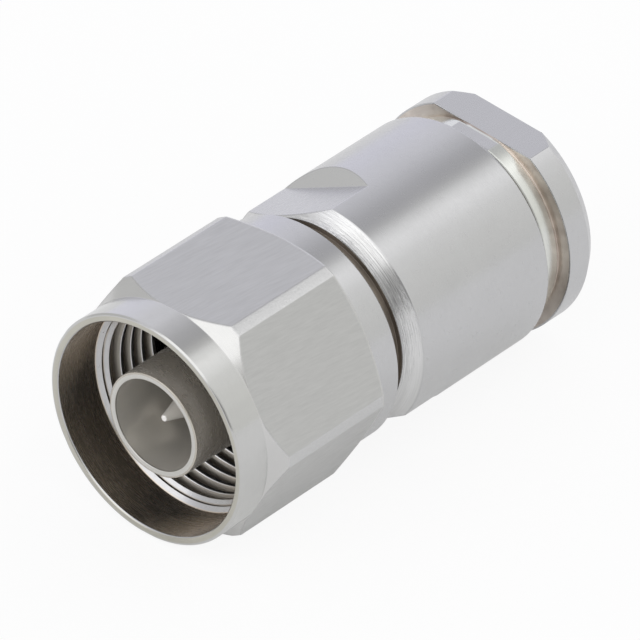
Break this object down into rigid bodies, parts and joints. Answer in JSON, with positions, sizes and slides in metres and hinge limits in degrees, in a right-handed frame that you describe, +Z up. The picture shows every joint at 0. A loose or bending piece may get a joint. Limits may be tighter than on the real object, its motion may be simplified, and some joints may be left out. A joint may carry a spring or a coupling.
{
  "type": "coaxial plug connector",
  "caption": "Clamp-type coaxial plug with a spinning hexagonal coupling nut, a plain outer contact, a pointed centre pin and a screwed cable clamp.",
  "frame": {"origin": "on the common axis, at the mating plane, which is the end of the outer contact sleeve", "axes": "+Y along the axis from the mating end to the cable entry, +Z up, square to one flat of the coupling nut, as the connector lies"},
  "size_m": [0.0196, 0.037, 0.0178],
  "materials": {
    "nut_plating": "white bronze plated brass, turned collars, brushed flats",
    "body_plating": "white bronze plated brass, turned",
    "gland_plating": "white bronze plated brass, turned, milled flats",
    "contact_plating": "silver plated brass, satin",
    "pin_plating": "silver plated brass, polished",
    "spring_metal": "hard spring bronze",
    "insulator": "white fluoropolymer",
    "seal_rubber": "black silicone rubber"
  },
  "bodies": {
    "plug": {"body": "body_plating", "outer_contact": "contact_plating", "center_contact": "pin_plating", "front_insulator": "insulator", "rear_insulator": "insulator", "braid_clamp": "contact_plating", "cable_gasket": "seal_rubber", "interface_gasket": "seal_rubber", "snap_ring": "spring_metal"},
    "coupling": {"coupling_nut": "nut_plating"},
    "washer": {"thrust_washer": "contact_plating"},
    "gland": {"clamp_nut": "gland_plating"}
  },
  "joints": [
    {"name": "coupling_spin", "type": "hinge", "parent": "plug", "child": "coupling", "pos_m": [0, 0.008, 0], "axis": [0, -1, 0], "continuous": true},
    {"name": "clamp_turn", "type": "hinge", "parent": "plug", "child": "washer", "pos_m": [0, 0.0266, 0], "axis": [0, 1, 0], "range_deg": [0, 1440]},
    {"name": "clamp_slide", "type": "slide", "parent": "washer", "child": "gland", "axis": [0, 1, 0], "range_m": [0, 0.0041]}
  ],
  "couplings": [
    {"joint": "clamp_slide", "follows": "clamp_turn", "m_per_rad": 0.00015915}
  ]
}
